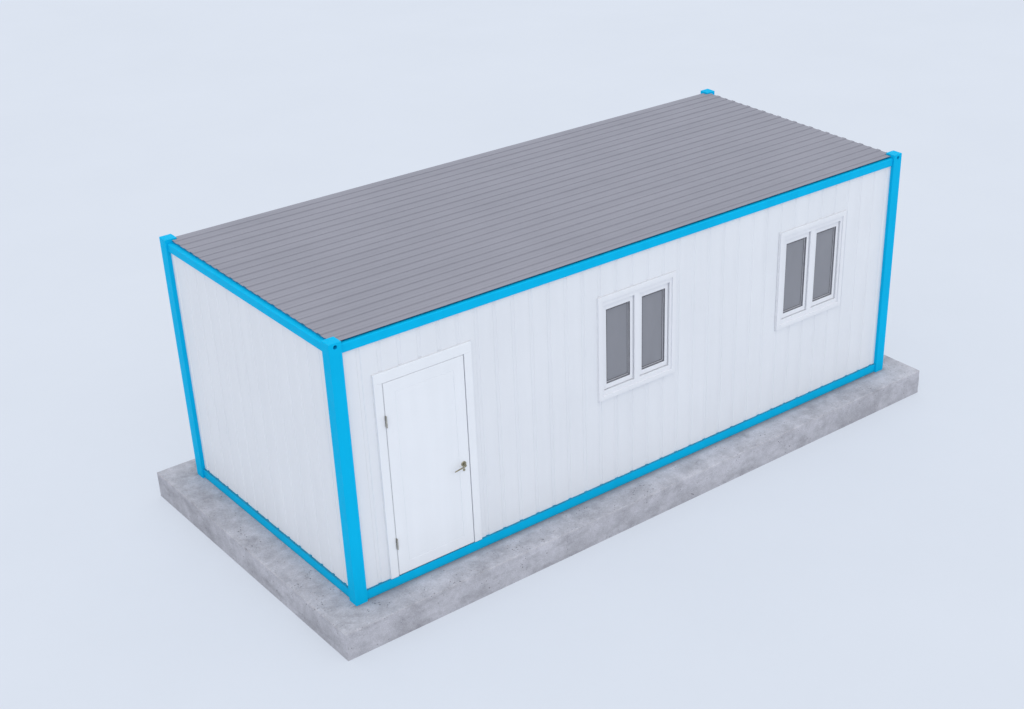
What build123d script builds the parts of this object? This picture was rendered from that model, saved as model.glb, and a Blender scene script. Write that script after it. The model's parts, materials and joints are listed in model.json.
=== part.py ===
"""Portable site cabin on its concrete plinth. All lengths are in millimetres.

X runs along the cabin, -Y faces the side with the door and windows, and +Z is up.
The origin is the middle of the plinth's underside.
"""
import os

from build123d import *

# Cabin and plinth
cabin_length = 7000
cabin_width = 3000
cabin_height = 2570
plinth_margin = 300
plinth_height = 280

# Steel frame: corner posts, base rails and top rails
post_size = 120
post_rounding = 6
rail_setback = 20
rail_rounding = 6
base_rail_height = 100
top_rail_height = 80
post_rise = 38
lifting_hole_radius = 19
lifting_hole_depth = 70
lifting_hole_drop = 36

# Walls, floor and ceiling
wall_setback = 40
wall_thickness = 60
floor_thickness = 80
ceiling_thickness = 50

# Roof sheet and its bearers
roof_end_setback = 68
roof_side_setback = 52
roof_thickness = 2
roof_rib_count = 11
roof_rib_height = 8
roof_rib_crest = 46
roof_rib_slope = 8
minor_rib_height = 5
minor_rib_crest = 40
minor_rib_slope = 5
edge_bay_share = 0.857
bearer_height = 18
bearer_width = 40

# Door frame and stops
casing_projection = 20
door_from_end = 390
door_casing_length = 1000
door_head_drop = 301
door_casing_side = 80
door_casing_head = 95
casing_lap = 40
stop_lap = 12
stop_end_gap = 2

# Door leaf
leaf_thickness = 45
leaf_side_gap = 9
leaf_top_gap = 8
leaf_bottom_gap = 8
leaf_stop_gap = 5
panel_margin = 110
panel_recess = 3

# Hinges
hinge_stand_off = 14
hinge_radius = 7
hinge_height = 108
lower_hinge_inset = 340
upper_hinge_inset = 358
hinge_plate_thickness = 3
hinge_plate_depth = 44
pin_radius = 3.5
pin_top_cover = 6
knuckle_gap = 1

# Lever handle and lock
handle_backset = 65
handle_height = 870
rose_radius = 27
rose_thickness = 9
hub_radius = 10
spindle_radius = 5
spindle_hole_radius = 12
lever_length = 140
lever_droop = 8
lever_depth = 16
lever_thickness = 11
lever_rounding = 6
lever_stand_off = 52
lock_drop = 62
lock_radius = 12
lock_projection = 6

# Windows
window_middles = (-187, 2218)
window_drop = 333
window_length = 974
window_height = 1079
window_casing = 46
window_frame_side = 29
window_frame_end = 47
window_mullion = 66
frame_step = 12
sash_step = 18
sash_gap = 6
sash_side = 35
sash_end = 49
sash_thickness = 40
glazing_lip = 14
glass_step = 20
glass_thickness = 14

# Clearances and the overrun of all cuts
running_gap = 0.3
sheet_gap = 5
cut_overrun = 10

# Levels
base = plinth_height
post_top = base + cabin_height
wall_bottom = base + base_rail_height
top_rail_top = post_top - post_rise
wall_top = top_rail_top - top_rail_height

# Distances from the middle of the cabin
half_length = cabin_length / 2
half_width = cabin_width / 2
rail_out_x = half_length - rail_setback
rail_out_y = half_width - rail_setback
inside_x = half_length - post_size
inside_y = half_width - post_size
wall_out_x = half_length - wall_setback
wall_out_y = half_width - wall_setback
wall_in_x = wall_out_x - wall_thickness
wall_in_y = wall_out_y - wall_thickness
casing_out_y = wall_out_y + casing_projection

# Door positions
casing_left = door_from_end - half_length
casing_right = casing_left + door_casing_length
casing_top = wall_top - door_head_drop
jamb_left = casing_left + door_casing_side
jamb_right = casing_right - door_casing_side
head_bottom = casing_top - door_casing_head
door_hole_left = casing_left + casing_lap
door_hole_right = casing_right - casing_lap
door_hole_top = casing_top - casing_lap
leaf_left = jamb_left + leaf_side_gap
leaf_right = jamb_right - leaf_side_gap
leaf_bottom = wall_bottom + leaf_bottom_gap
leaf_top = head_bottom - leaf_top_gap
leaf_out_y = casing_out_y
leaf_in_y = leaf_out_y - leaf_thickness
stop_out_y = leaf_in_y - leaf_stop_gap
stop_width = leaf_side_gap + stop_lap
hinge_x = (jamb_left + leaf_left) / 2
hinge_y = -(leaf_out_y + hinge_stand_off)
hinge_middles = (leaf_bottom + lower_hinge_inset, leaf_top - upper_hinge_inset)
handle_x = leaf_right - handle_backset
handle_z = leaf_bottom + handle_height
lock_z = handle_z - lock_drop

# Window positions
frame_length = window_length - 2 * window_casing
frame_height = window_height - 2 * window_casing
sash_hole_length = (frame_length - 2 * window_frame_side - window_mullion) / 2
sash_hole_height = frame_height - 2 * window_frame_end
sash_offset = (sash_hole_length + window_mullion) / 2
sash_length = sash_hole_length - 2 * sash_gap
sash_height = sash_hole_height - 2 * sash_gap
glass_length = sash_length - 2 * sash_side
glass_height = sash_height - 2 * sash_end
frame_out_y = casing_out_y - frame_step
sash_out_y = frame_out_y - sash_step
sash_in_y = sash_out_y - sash_thickness
glass_out_y = sash_out_y - glass_step
window_middle_z = wall_top - window_drop - window_height / 2
window_hole_bottom = window_middle_z - frame_height / 2
window_hole_top = window_middle_z + frame_height / 2
window_lefts = [middle - frame_length / 2 for middle in window_middles]
window_rights = [middle + frame_length / 2 for middle in window_middles]


def middle_and_size(span):
    """The middle and the length of a low and high bound."""
    low, high = span
    return (low + high) / 2, high - low


def save(piece, label):
    """Label a finished piece and write it out."""
    piece.part.label = label
    export_step(piece.part, "parts/" + label + ".step")


def save_blocks(label, *blocks):
    """Plain blocks as one piece, each given by its bounds along X, Y and Z."""
    with BuildPart() as piece:
        for span_x, span_y, span_z in blocks:
            middle_x, size_x = middle_and_size(span_x)
            middle_y, size_y = middle_and_size(span_y)
            with BuildSketch(Plane.XY.offset(span_z[0])):
                with Locations((middle_x, middle_y)):
                    Rectangle(size_x, size_y)
            extrude(amount=span_z[1] - span_z[0])
    save(piece, label)


def save_rail(label, span_x, span_y, span_z, along):
    """A frame rail with its four long edges rounded."""
    middle_x, size_x = middle_and_size(span_x)
    middle_y, size_y = middle_and_size(span_y)
    with BuildPart() as rail:
        with BuildSketch(Plane.XY.offset(span_z[0])):
            with Locations((middle_x, middle_y)):
                Rectangle(size_x, size_y)
        extrude(amount=span_z[1] - span_z[0])
        fillet(rail.edges().filter_by(along), rail_rounding)
    save(rail, label)


def save_post(label, side_x, side_y):
    """A corner post with a blind lifting hole near its top, in its long-side face."""
    middle_x = side_x * (half_length - post_size / 2)
    middle_y = side_y * (half_width - post_size / 2)
    hole_z = post_top - lifting_hole_drop
    with BuildPart() as post:
        with BuildSketch(Plane.XY.offset(base)):
            with Locations((middle_x, middle_y)):
                RectangleRounded(post_size, post_size, post_rounding)
        extrude(amount=cabin_height)
        with BuildSketch(Plane.XZ.offset(-side_y * half_width)):
            with Locations((middle_x, hole_z)):
                Circle(lifting_hole_radius)
        extrude(amount=side_y * lifting_hole_depth, mode=Mode.SUBTRACT)
    save(post, label)


def save_jamb(label, casing_x, hole_x, jamb_x):
    """A door jamb: the casing on the wall's face and the lining inside the doorway."""
    outline = [
        (casing_x, -casing_out_y),
        (jamb_x, -casing_out_y),
        (jamb_x, -wall_in_y),
        (hole_x, -wall_in_y),
        (hole_x, -wall_out_y),
        (casing_x, -wall_out_y),
    ]
    with BuildPart() as jamb:
        with BuildSketch(Plane.XY.offset(wall_bottom)):
            with BuildLine():
                Polyline(outline, close=True)
            make_face()
        extrude(amount=head_bottom - wall_bottom)
    save(jamb, label)


def save_window(label, middle):
    """A window: its frame with the casing, the two sashes and the two panes."""
    sash_places = [(middle - sash_offset, window_middle_z), (middle + sash_offset, window_middle_z)]
    with BuildPart() as frame:
        with BuildSketch(Plane.XZ.offset(casing_out_y)):
            with Locations((middle, window_middle_z)):
                Rectangle(window_length, window_height)
                Rectangle(frame_length, frame_height, mode=Mode.SUBTRACT)
        extrude(amount=wall_out_y - casing_out_y)
        with BuildSketch(Plane.XZ.offset(frame_out_y)):
            with Locations((middle, window_middle_z)):
                Rectangle(frame_length, frame_height)
            with Locations(sash_places):
                Rectangle(sash_hole_length, sash_hole_height, mode=Mode.SUBTRACT)
        extrude(amount=sash_in_y - frame_out_y)
        with BuildSketch(Plane.XZ.offset(sash_in_y)):
            with Locations((middle, window_middle_z)):
                Rectangle(frame_length, frame_height)
            with Locations(sash_places):
                Rectangle(
                    sash_hole_length - 2 * glazing_lip,
                    sash_hole_height - 2 * glazing_lip,
                    mode=Mode.SUBTRACT,
                )
        extrude(amount=wall_in_y - sash_in_y)
    save(frame, label + "_frame")

    with BuildPart() as sashes:
        with BuildSketch(Plane.XZ.offset(sash_out_y)):
            with Locations(sash_places):
                Rectangle(sash_length, sash_height)
                Rectangle(glass_length, glass_height, mode=Mode.SUBTRACT)
        extrude(amount=-sash_thickness)
    save(sashes, label + "_sashes")

    with BuildPart() as glass:
        with BuildSketch(Plane.XZ.offset(glass_out_y)):
            with Locations(sash_places):
                Rectangle(glass_length, glass_height)
        extrude(amount=-glass_thickness)
    save(glass, label + "_glass")


os.makedirs("parts", exist_ok=True)

# Plinth
plinth_half_length = half_length + plinth_margin
plinth_half_width = half_width + plinth_margin
save_blocks(
    "plinth",
    ((-plinth_half_length, plinth_half_length), (-plinth_half_width, plinth_half_width), (0, base)),
)

# Corner posts
save_post("post_front_left", -1, -1)
save_post("post_front_right", 1, -1)
save_post("post_back_left", -1, 1)
save_post("post_back_right", 1, 1)

# Rails, with their inner faces level with the posts' inner faces
long_span = (-inside_x, inside_x)
short_span = (-inside_y, inside_y)
front_rail_y = (-rail_out_y, -inside_y)
back_rail_y = (inside_y, rail_out_y)
left_rail_x = (-rail_out_x, -inside_x)
right_rail_x = (inside_x, rail_out_x)
base_rail_z = (base, wall_bottom)
top_rail_z = (wall_top, top_rail_top)
save_rail("base_rail_front", long_span, front_rail_y, base_rail_z, Axis.X)
save_rail("base_rail_back", long_span, back_rail_y, base_rail_z, Axis.X)
save_rail("base_rail_left", left_rail_x, short_span, base_rail_z, Axis.Y)
save_rail("base_rail_right", right_rail_x, short_span, base_rail_z, Axis.Y)
save_rail("top_rail_front", long_span, front_rail_y, top_rail_z, Axis.X)
save_rail("top_rail_back", long_span, back_rail_y, top_rail_z, Axis.X)
save_rail("top_rail_left", left_rail_x, short_span, top_rail_z, Axis.Y)
save_rail("top_rail_right", right_rail_x, short_span, top_rail_z, Axis.Y)

# Floor and ceiling between the rails
save_blocks("floor", (long_span, short_span, (wall_bottom - floor_thickness, wall_bottom)))
save_blocks("ceiling", (long_span, short_span, (wall_top, wall_top + ceiling_thickness)))

# Front wall, split beside and over the doorway and round the windows
front_wall_y = (-wall_out_y, -wall_in_y)
wall_z = (wall_bottom, wall_top)
save_blocks("front_wall_left", ((-inside_x, door_hole_left), front_wall_y, wall_z))
save_blocks(
    "front_wall_over_door",
    ((door_hole_left, door_hole_right), front_wall_y, (door_hole_top, wall_top)),
)
save_blocks("front_wall_pier_1", ((door_hole_right, window_lefts[0]), front_wall_y, wall_z))
save_blocks("front_wall_pier_2", ((window_rights[0], window_lefts[1]), front_wall_y, wall_z))
save_blocks("front_wall_right", ((window_rights[1], inside_x), front_wall_y, wall_z))
window_spans = list(zip(window_lefts, window_rights))
save_blocks(
    "front_wall_below_windows",
    *[(span, front_wall_y, (wall_bottom, window_hole_bottom)) for span in window_spans],
)
save_blocks(
    "front_wall_over_windows",
    *[(span, front_wall_y, (window_hole_top, wall_top)) for span in window_spans],
)

# Plain back wall and end walls
save_blocks("back_wall", (long_span, (wall_in_y, wall_out_y), wall_z))
save_blocks("end_wall_left", ((-wall_out_x, -wall_in_x), short_span, wall_z))
save_blocks("end_wall_right", ((wall_in_x, wall_out_x), short_span, wall_z))

# Bearers along the end rails, which lift the roof sheet off the rails
bearer_in_x = inside_x + rail_rounding
bearer_out_x = bearer_in_x + bearer_width
bearer_y = (-inside_y + sheet_gap, inside_y - sheet_gap)
bearer_z = (top_rail_top, top_rail_top + bearer_height)
save_blocks(
    "roof_bearers",
    ((-bearer_out_x, -bearer_in_x), bearer_y, bearer_z),
    ((bearer_in_x, bearer_out_x), bearer_y, bearer_z),
)

# Roof sheet: main and minor ribs along X in turn, with its flats on the bearers
roof_half_length = half_length - roof_end_setback
roof_half_width = half_width - roof_side_setback
rib_pitch = roof_half_width / ((roof_rib_count - 1) / 2 + edge_bay_share)
main_rib = (roof_rib_crest / 2, roof_rib_slope, roof_rib_height)
minor_rib = (minor_rib_crest / 2, minor_rib_slope, minor_rib_height)
flat_z = bearer_z[1] + roof_thickness
upper_line = [(-roof_half_width, flat_z)]
for half_step in range(-roof_rib_count, roof_rib_count + 1):
    rib_middle = half_step * rib_pitch / 2
    # The even half steps carry the main ribs.
    crest_half, slope_run, rib_height = minor_rib if half_step % 2 else main_rib
    upper_line.append((rib_middle - crest_half - slope_run, flat_z))
    upper_line.append((rib_middle - crest_half, flat_z + rib_height))
    upper_line.append((rib_middle + crest_half, flat_z + rib_height))
    upper_line.append((rib_middle + crest_half + slope_run, flat_z))
upper_line.append((roof_half_width, flat_z))
lower_line = [(y, z - roof_thickness) for y, z in reversed(upper_line)]
corner_places = [(x, y) for x in (-half_length, half_length) for y in (-half_width, half_width)]
with BuildPart() as roof_sheet:
    with BuildSketch(Plane.YZ.offset(-roof_half_length)):
        with BuildLine():
            Polyline(upper_line + lower_line, close=True)
        make_face()
    extrude(amount=2 * roof_half_length)
    # The corners are cut away round the posts.
    with BuildSketch(Plane.XY.offset(top_rail_top - cut_overrun)):
        with Locations(corner_places):
            Rectangle(2 * (post_size + sheet_gap), 2 * (post_size + sheet_gap))
    extrude(amount=post_rise + 2 * cut_overrun, mode=Mode.SUBTRACT)
save(roof_sheet, "roof_sheet")

# Door frame
save_jamb("door_frame_left", casing_left, door_hole_left, jamb_left)
save_jamb("door_frame_right", casing_right, door_hole_right, jamb_right)
save_blocks(
    "door_frame_head",
    ((casing_left, casing_right), (-casing_out_y, -wall_out_y), (head_bottom, casing_top)),
    ((door_hole_left, door_hole_right), (-wall_out_y, -wall_in_y), (head_bottom, door_hole_top)),
)

# Stop strips behind the leaf's edges
stop_y = (-stop_out_y, -wall_in_y)
stop_left_end = jamb_left + stop_width
stop_right_end = jamb_right - stop_width
save_blocks(
    "door_stops",
    ((jamb_left, stop_left_end), stop_y, (wall_bottom, head_bottom)),
    ((stop_right_end, jamb_right), stop_y, (wall_bottom, head_bottom)),
    (
        (stop_left_end + stop_end_gap, stop_right_end - stop_end_gap),
        stop_y,
        (head_bottom - stop_width, head_bottom),
    ),
)

# Door leaf with a shallow panel in each face
leaf_middle_x, leaf_length = middle_and_size((leaf_left, leaf_right))
leaf_middle_z, leaf_height = middle_and_size((leaf_bottom, leaf_top))
with BuildPart() as door_leaf:
    with BuildSketch(Plane.XZ.offset(leaf_out_y)):
        with Locations((leaf_middle_x, leaf_middle_z)):
            Rectangle(leaf_length, leaf_height)
        with Locations((handle_x, handle_z)):
            Circle(spindle_hole_radius, mode=Mode.SUBTRACT)
        with Locations((handle_x, lock_z)):
            Circle(lock_radius + running_gap, mode=Mode.SUBTRACT)
    extrude(amount=-leaf_thickness)
    for face_y, inward in ((leaf_out_y, -panel_recess), (leaf_in_y, panel_recess)):
        with BuildSketch(Plane.XZ.offset(face_y)):
            with Locations((leaf_middle_x, leaf_middle_z)):
                Rectangle(leaf_length - 2 * panel_margin, leaf_height - 2 * panel_margin)
        extrude(amount=inward, mode=Mode.SUBTRACT)
save(door_leaf, "door_leaf")

# Hinges: the lower knuckle and pin are fixed, the upper knuckle turns with the leaf
knuckle_height = (hinge_height - knuckle_gap) / 2
plate_back_y = hinge_y + hinge_stand_off + hinge_plate_depth
plate_middle_y, plate_size_y = middle_and_size((hinge_y, plate_back_y))
with BuildPart() as hinge_frame_halves:
    for hinge_middle in hinge_middles:
        with BuildSketch(Plane.XY.offset(hinge_middle - hinge_height / 2)):
            with Locations((hinge_x, hinge_y)):
                Circle(hinge_radius)
            with Locations((jamb_left + hinge_plate_thickness / 2, plate_middle_y)):
                Rectangle(hinge_plate_thickness, plate_size_y)
        extrude(amount=knuckle_height)
        with BuildSketch(Plane.XY.offset(hinge_middle - hinge_height / 2)):
            with Locations((hinge_x, hinge_y)):
                Circle(pin_radius)
        extrude(amount=hinge_height - pin_top_cover)
save(hinge_frame_halves, "hinge_frame_halves")

with BuildPart() as hinge_leaf_halves:
    for hinge_middle in hinge_middles:
        knuckle_bottom = hinge_middle + knuckle_gap / 2
        with BuildSketch(Plane.XY.offset(knuckle_bottom)):
            with Locations((hinge_x, hinge_y)):
                Circle(hinge_radius)
            with Locations((leaf_left - hinge_plate_thickness / 2, plate_middle_y)):
                Rectangle(hinge_plate_thickness, plate_size_y)
        extrude(amount=knuckle_height)
        with BuildSketch(Plane.XY.offset(knuckle_bottom)):
            with Locations((hinge_x, hinge_y)):
                Circle(pin_radius + running_gap)
        extrude(amount=knuckle_height - pin_top_cover + running_gap, mode=Mode.SUBTRACT)
save(hinge_leaf_halves, "hinge_leaf_halves")

# Round roses under both levers
with BuildPart() as handle_roses:
    for face_y, outward in ((leaf_out_y, rose_thickness), (leaf_in_y, -rose_thickness)):
        with BuildSketch(Plane.XZ.offset(face_y)):
            with Locations((handle_x, handle_z)):
                Circle(rose_radius)
                Circle(hub_radius + running_gap, mode=Mode.SUBTRACT)
        extrude(amount=outward)
save(handle_roses, "handle_roses")

# Levers outside and inside, joined through the leaf by the spindle
with BuildPart() as lever_handle:
    with BuildSketch(Plane.XZ.offset(leaf_in_y)):
        with Locations((handle_x, handle_z)):
            Circle(spindle_radius)
    extrude(amount=leaf_thickness)
    for face_y, side in ((leaf_out_y, 1), (leaf_in_y, -1)):
        with BuildSketch(Plane.XZ.offset(face_y)):
            with Locations((handle_x, handle_z)):
                Circle(hub_radius)
        extrude(amount=side * lever_stand_off)
        with BuildSketch(Plane.XZ.offset(face_y + side * (lever_stand_off - lever_thickness))):
            with Locations(Location((handle_x, handle_z, 0), (0, 0, lever_droop))):
                with Locations((hub_radius - lever_length / 2, 0)):
                    RectangleRounded(lever_length, lever_depth, lever_rounding)
        extrude(amount=side * lever_thickness)
save(lever_handle, "lever_handle")

# Lock cylinder below the lever
with BuildPart() as lock_cylinder:
    with BuildSketch(Plane.XZ.offset(leaf_in_y - lock_projection)):
        with Locations((handle_x, lock_z)):
            Circle(lock_radius)
    extrude(amount=leaf_thickness + 2 * lock_projection)
save(lock_cylinder, "lock_cylinder")

# Windows
for window_number, window_middle in enumerate(window_middles):
    save_window("window_" + str(window_number + 1), window_middle)
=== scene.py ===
"""Looks of the portable site cabin: grooved walls, worn concrete, hardware, light and camera.

Lengths are in metres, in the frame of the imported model.
"""
import json
import math
import random

import bmesh
import bpy
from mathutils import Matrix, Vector
from mathutils import noise as noise_field


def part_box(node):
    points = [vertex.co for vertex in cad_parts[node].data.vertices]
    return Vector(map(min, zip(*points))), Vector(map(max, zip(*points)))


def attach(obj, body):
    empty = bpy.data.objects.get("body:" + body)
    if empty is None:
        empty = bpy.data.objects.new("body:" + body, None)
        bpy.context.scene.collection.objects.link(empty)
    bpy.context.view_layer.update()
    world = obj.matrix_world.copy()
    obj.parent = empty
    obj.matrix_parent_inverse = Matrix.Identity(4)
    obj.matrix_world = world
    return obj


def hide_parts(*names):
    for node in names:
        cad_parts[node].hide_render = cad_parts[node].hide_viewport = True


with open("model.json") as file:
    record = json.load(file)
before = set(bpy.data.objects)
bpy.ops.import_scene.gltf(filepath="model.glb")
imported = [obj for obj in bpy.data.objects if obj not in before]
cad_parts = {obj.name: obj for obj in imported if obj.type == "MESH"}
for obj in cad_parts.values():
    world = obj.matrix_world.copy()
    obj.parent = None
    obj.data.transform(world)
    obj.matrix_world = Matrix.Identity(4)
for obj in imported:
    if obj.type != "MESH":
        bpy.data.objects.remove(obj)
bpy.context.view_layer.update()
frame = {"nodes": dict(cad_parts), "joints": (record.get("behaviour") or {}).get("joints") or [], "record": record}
record = frame["record"]
body_of = {node: body for body, members in record["behaviour"]["bodies"].items() for node in members}
joint_place = {joint["name"]: Vector(joint["pos_m"]) for joint in frame["joints"]}
SEED = 11
rng = random.Random(SEED)

# Axes
LEFTWARD = Vector((-1, 0, 0))
FRONTWARD = Vector((0, -1, 0))
BACKWARD = Vector((0, 1, 0))
UP = Vector((0, 0, 1))

# Camera, in pixels of the 1024 x 709 photo
PHOTO_WIDTH = 1024
PHOTO_HEIGHT = 709
FOCAL_PIXELS = 1546.2
PRINCIPAL_POINT = (631.6, 438.0)
CAMERA_AZIMUTH = math.radians(-40.82)
CAMERA_ELEVATION = math.radians(29.81)
CAMERA_PLACE = Vector((-8.933, -11.511, 8.372))
SENSOR_WIDTH = 36.0

# Wall grooves: one at each pitch, counted from the phase
GROOVE_PITCH = 0.198
GROOVE_HALF_WIDTH = 0.023
GROOVE_SLOPE = 0.010
GROOVE_DEPTH = 0.008
GROOVE_SUPPORT = 0.003
FRONT_PHASE = 0.147
END_PHASE = 0.122

# Roof ribs: bays from the middle of the sheet to its long edge, and the painted shade on each rib's slopes
ROOF_BAYS = 5.857
FOLD_OFFSET = 0.025
FOLD_REACH = 0.014
FOLD_SHADE = 0.39

# Merging and rounding of copied CAD meshes
MERGE_DISTANCE = 0.00002
FLAT_ANGLE = math.radians(1)
SHARP_ANGLE = math.radians(35)
TRIM_ROUNDING = 0.003
LEAF_ROUNDING = 0.004
PANEL_ROUNDING = 0.001
SASH_ROUNDING = 0.002
SEAL_ROUNDING = 0.002
ROUNDING_STEPS = 3
ROUND_PROFILE = 0.5
FACING_SHARE = 0.9
PLACE_DIGITS = 4

# Plinth
PLINTH_CELL = 0.045
PLINTH_EDGE_CELL = 0.010
CHIP_DEPTH = 0.012
CHIP_SCALE = 11
CHIP_FINE_SCALE = 31
CHIP_FINE_SHARE = 0.6
CHIP_LEAST_SHARE = 0.22
CHIP_THRESHOLD = 0.15
CHIP_GAIN = 1.3
PIT_COUNT = 110
PIT_DEPTH = 0.005
PIT_DEPTH_SHARES = (0.4, 1)
PIT_MARGIN_SHARES = (0.30, 0.44)
PIT_RADIUS_SHARES = (0.65, 1.15)
PIT_WALL_SHARE = 0.35
# Painted shade on the plinth top beside the base rails
CONTACT_SHADE_REACH = 0.075
CONTACT_SHADE_STRENGTH = 0.85
CONTACT_SHADE_FADE = 0.005
# Darkening towards the bottom of the plinth
LOW_DARKENING_HEIGHT = 0.20
LOW_DARKENING_STRENGTH = 0.12

# Painted shade bands on the base rails and roof bearers: reach to either side, and strength
FOOT_SHADE = (0.040, 0.34)
LEDGE_SHADE = (0.009, 0.74)
BEARER_SHADE = (0.060, 0.80)

# Door panel, window gaskets, pane spacers, door seals and casing beads
PANEL_SLOPE = 0.010
PANEL_RISE = 0.0022
GASKET_WIDTH = 0.003
GASKET_SETBACK = 0.002
SPACER_INSETS = (0.006, 0.013)
PANE_SEAL_INSETS = (0.018, 0.022)
SPACER_RISE = 0.0005
SEAL_SETBACK = 0.0025
SEAL_DEPTH = 0.012
SEAL_GAP = 0.001
BEAD_WIDTH = 0.009
BEAD_RISE = 0.007

# Hinges
TURN_STEPS = 32
KNUCKLE_RADIUS = 0.007
KNUCKLE_HEIGHT = 0.0535
KNUCKLE_EASE = 0.00105
KNUCKLE_NECK = 0.00385
FINIAL_HEIGHT = 0.006
FINIAL_SHARES = ((0.62, 0.35), (0.45, 0.8))
PLATE_THICKNESS = 0.003
PLATE_DEPTH = 0.058
PLATE_ROUNDING = 0.0008
SCREW_RADIUS = 0.0038
SCREW_RISE = 0.0006
SCREW_TOP_SHARE = 0.7
SCREW_SHARES = ((0.2, 0.82), (0.5, 0.62), (0.8, 0.82))

# Handle and lock
LEVER_STEPS = 20
LEVER_NECK = (0.0096, 0.0096)
LEVER_BEND = 0.016
LEVER_BEND_STEPS = 6
LEVER_BEND_START = (0.0088, 0.0092)
LEVER_BEND_TAPER = (0.0033, 0.0010)
LEVER_SECTIONS = (
    (0.30, 0.0054, 0.0080),
    (0.55, 0.0050, 0.0074),
    (0.80, 0.0046, 0.0072),
    (0.93, 0.0042, 0.0068),
    (0.975, 0.0034, 0.0056),
    (0.995, 0.0018, 0.0032),
    (1.0, 0.0006, 0.0012),
)
LEVER_DROOP = math.radians(8)
LEVER_HALF_THICKNESS = 0.0055
SPINDLE_HALF_SIZES = (0.0045, 0.0045)
ROSE_RADIUS = 0.027
ROSE_BORE = 0.0103
ROSE_THICKNESS = 0.009
ROSE_DISH_SHARE = 0.86
ROSE_DOME_SHARES = ((1, 0), (1, 0.45), (0.95, 0.72), (0.82, 0.90), (0.60, 1), (0.52, ROSE_DISH_SHARE))
LOCK_RADIUS = 0.012
LOCK_FACE_SHARE = 0.66
LOCK_RIM_SHARES = (0.70, 0.90)
LOCK_SINK = 0.0006
LOCK_EASE = 0.0012
KEYWAY = Vector((0.0011, 0.0003, 0.0045))
KEYWAY_ROUNDING = 0.0001

# Light and floor
SKY_STRENGTH = 1.04
KEY_STRENGTH = 0.70
KEY_ANGLE = math.radians(60)
KEY_FROM = Vector((-0.32, -0.75, 1.10))
FLOOR_HALF_SIZE = 90
FLOOR_CELLS = 8

# Materials: wear shows where the rounded normal leaves the flat one, and roughness spreads to either side
EDGE_SAMPLES = 4
EDGE_FLAT = 0.98
EDGE_WORN = 0.78
PAINT_ROUGH_SPREAD = 0.07
MOTTLE_ROUGH_SPREAD = 0.06
MOTTLE_ROUGH_SCALE_SHARE = 3
ROOF_WEAR = 0.003
CONCRETE_WEAR = 0.010
BRASS_WEAR = 0.002
PORE_STRENGTH = 0.9
RUN_DOWN = (1, 1, 0.07)
ALONG_ROOF = (0.12, 1, 1)
ALONG_RIBS = (0.5, 2, 1)
LEVEL_DAMP = (1, 1, 2.2)
UPRIGHT_SMEARS = (1.6, 1, 0.5)

# Colours, linear
WALL_LIGHT = (0.722, 0.745, 0.795, 1)
WALL_DARK = (0.695, 0.718, 0.768, 1)
WALL_WORN = (0.56, 0.58, 0.62, 1)
TRIM_LIGHT = (0.773, 0.799, 0.850, 1)
TRIM_DARK = (0.747, 0.773, 0.823, 1)
TRIM_WORN = (0.60, 0.62, 0.66, 1)
PLASTIC_LIGHT = (0.738, 0.755, 0.805, 1)
PLASTIC_DARK = (0.712, 0.729, 0.779, 1)
PLASTIC_WORN = (0.58, 0.60, 0.64, 1)
BLUE_LIGHT = (0.003, 0.446, 0.775, 1)
BLUE_DARK = (0.003, 0.413, 0.725, 1)
BLUE_WORN = (0.02, 0.50, 0.83, 1)
# Shade colour painted in level strips on the base rails and roof bearers
BLUE_SHADE = (0.03, 0.13, 0.20, 1)
ROOF_LIGHT = (0.272, 0.272, 0.324, 1)
ROOF_DARK = (0.249, 0.250, 0.299, 1)
# Painted shade on the slopes of the roof ribs
ROOF_SHADE = (0.115, 0.117, 0.138, 1)
ROOF_WORN = (0.33, 0.335, 0.38, 1)
CONCRETE_LIGHT = (0.534, 0.536, 0.595, 1)
CONCRETE_MID = (0.345, 0.345, 0.386, 1)
CONCRETE_DARK = (0.171, 0.170, 0.190, 1)
# Painted shade in the plinth's pits
PIT_SHADE_LIGHT = (0.31, 0.31, 0.34, 1)
PIT_SHADE_DARK = (0.19, 0.19, 0.21, 1)
VINYL_LIGHT = (0.30, 0.27, 0.23, 1)
VINYL_DARK = (0.20, 0.18, 0.155, 1)
BOARD_LIGHT = (0.74, 0.74, 0.73, 1)
BOARD_DARK = (0.67, 0.67, 0.66, 1)
RUBBER_LIGHT = (0.055, 0.056, 0.062, 1)
RUBBER_DARK = (0.030, 0.030, 0.034, 1)
GASKET_LIGHT = (0.25, 0.256, 0.29, 1)
GASKET_DARK = (0.175, 0.18, 0.205, 1)
SPACER_LIGHT = (0.54, 0.548, 0.600, 1)
SPACER_DARK = (0.47, 0.478, 0.525, 1)
# Door seal greys, partly the seals' own colour and partly painted shade in the gap
SEAL_SHADE_LIGHT = (0.50, 0.515, 0.555, 1)
SEAL_SHADE_DARK = (0.43, 0.445, 0.485, 1)
BEAD_LIGHT = (0.70, 0.715, 0.755, 1)
BEAD_DARK = (0.63, 0.645, 0.685, 1)
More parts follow.
